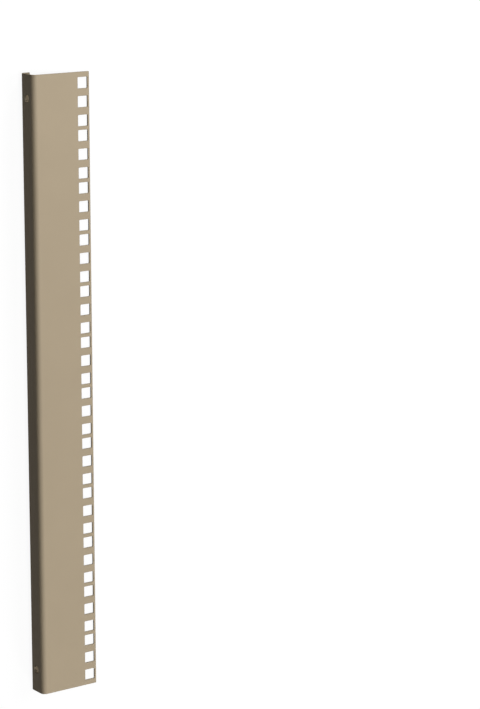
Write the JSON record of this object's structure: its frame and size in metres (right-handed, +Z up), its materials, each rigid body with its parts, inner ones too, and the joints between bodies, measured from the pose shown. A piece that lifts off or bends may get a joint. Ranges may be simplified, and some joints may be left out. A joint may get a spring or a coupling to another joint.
{
  "type": "rack mounting rail",
  "caption": "Folded sheet-steel mounting rail with a column of square cage-nut holes at 19 inch rack spacing, a side flange and a rear lip.",
  "frame": {"origin": "on the floor under the middle of the lying rail's bounding box", "axes": "+Y runs up the rail towards the end that is its top in the picture, +Z is up with the wide face upwards, and +X points across the rail from the flange to the free edge that carries the square holes; the face slopes down towards +X by 23.1 degrees because the rail lies on its free edge and the end of its lip"},
  "size_m": [0.0572, 0.539, 0.0214],
  "materials": {
    "painted_steel": "satin stone-beige powder coat"
  },
  "bodies": {
    "root": {"mounting_rail": "painted_steel"}
  },
  "joints": []
}
